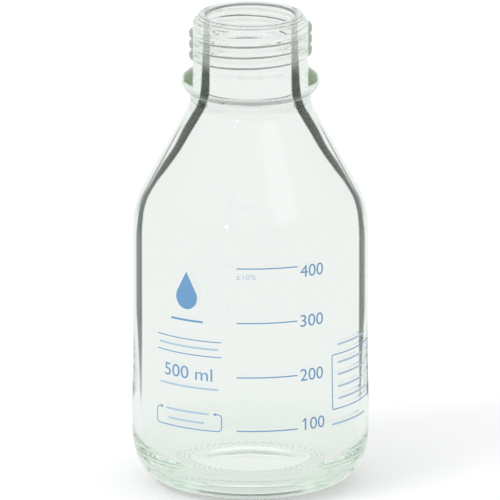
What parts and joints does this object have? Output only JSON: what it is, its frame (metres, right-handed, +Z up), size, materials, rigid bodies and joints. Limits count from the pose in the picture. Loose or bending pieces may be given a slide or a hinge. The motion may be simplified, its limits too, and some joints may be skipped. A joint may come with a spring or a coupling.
{
  "type": "glass laboratory bottle",
  "caption": "Clear glass laboratory bottle, open, with straight wall, conical shoulder, drip bead and wide neck with external screw thread.",
  "frame": {"origin": "centre of the foot, in the plane the bottle stands on", "axes": "+Z up along the bottle's axis and out of the mouth, -Y towards the scale's side"},
  "size_m": [0.0864, 0.0864, 0.175],
  "materials": {
    "bottle": "clear polished borosilicate glass with light blue enamel print"
  },
  "bodies": {
    "root": {"bottle": "bottle"}
  },
  "joints": []
}
